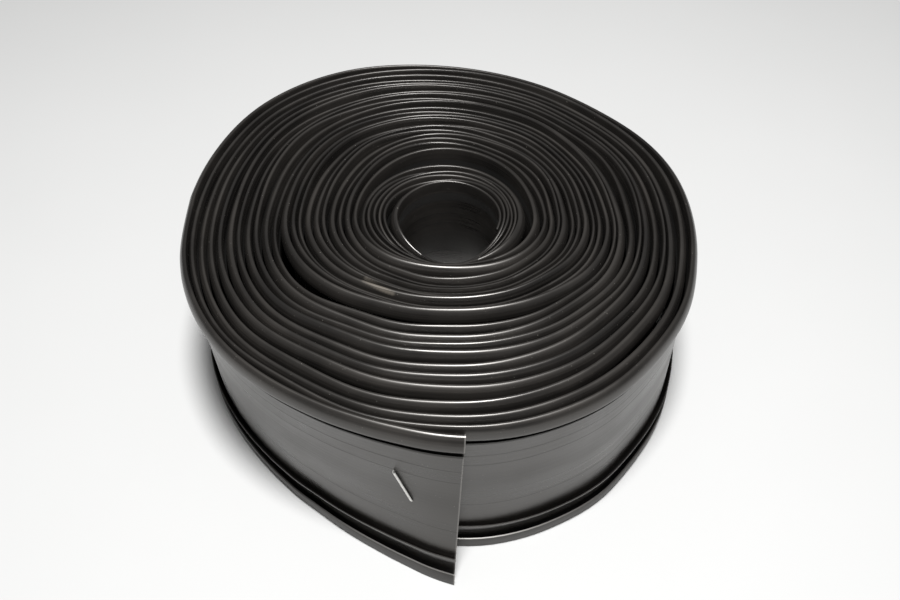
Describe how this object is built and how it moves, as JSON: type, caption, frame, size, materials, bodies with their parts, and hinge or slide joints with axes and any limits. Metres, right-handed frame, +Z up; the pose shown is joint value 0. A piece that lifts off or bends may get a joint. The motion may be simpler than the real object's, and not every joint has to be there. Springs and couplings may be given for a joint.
{
  "type": "flat soaker hose",
  "caption": "Flat black soaker hose, a thin flexible strip with a raised rib along each edge, wound on edge into a standing roll with its stapled free end laid round the outside.",
  "frame": {"origin": "middle of the foot of the bounding box, on the surface that the roll stands on", "axes": "+Z up along the roll's axis; the free end is cut on the -Y side and points towards +X"},
  "size_m": [0.158, 0.174, 0.0601],
  "materials": {
    "hose_black": "satin",
    "staple_steel": "bright"
  },
  "bodies": {
    "root": {"hose_roll": "hose_black", "hose_tail": "hose_black", "staple": "staple_steel"}
  },
  "joints": []
}
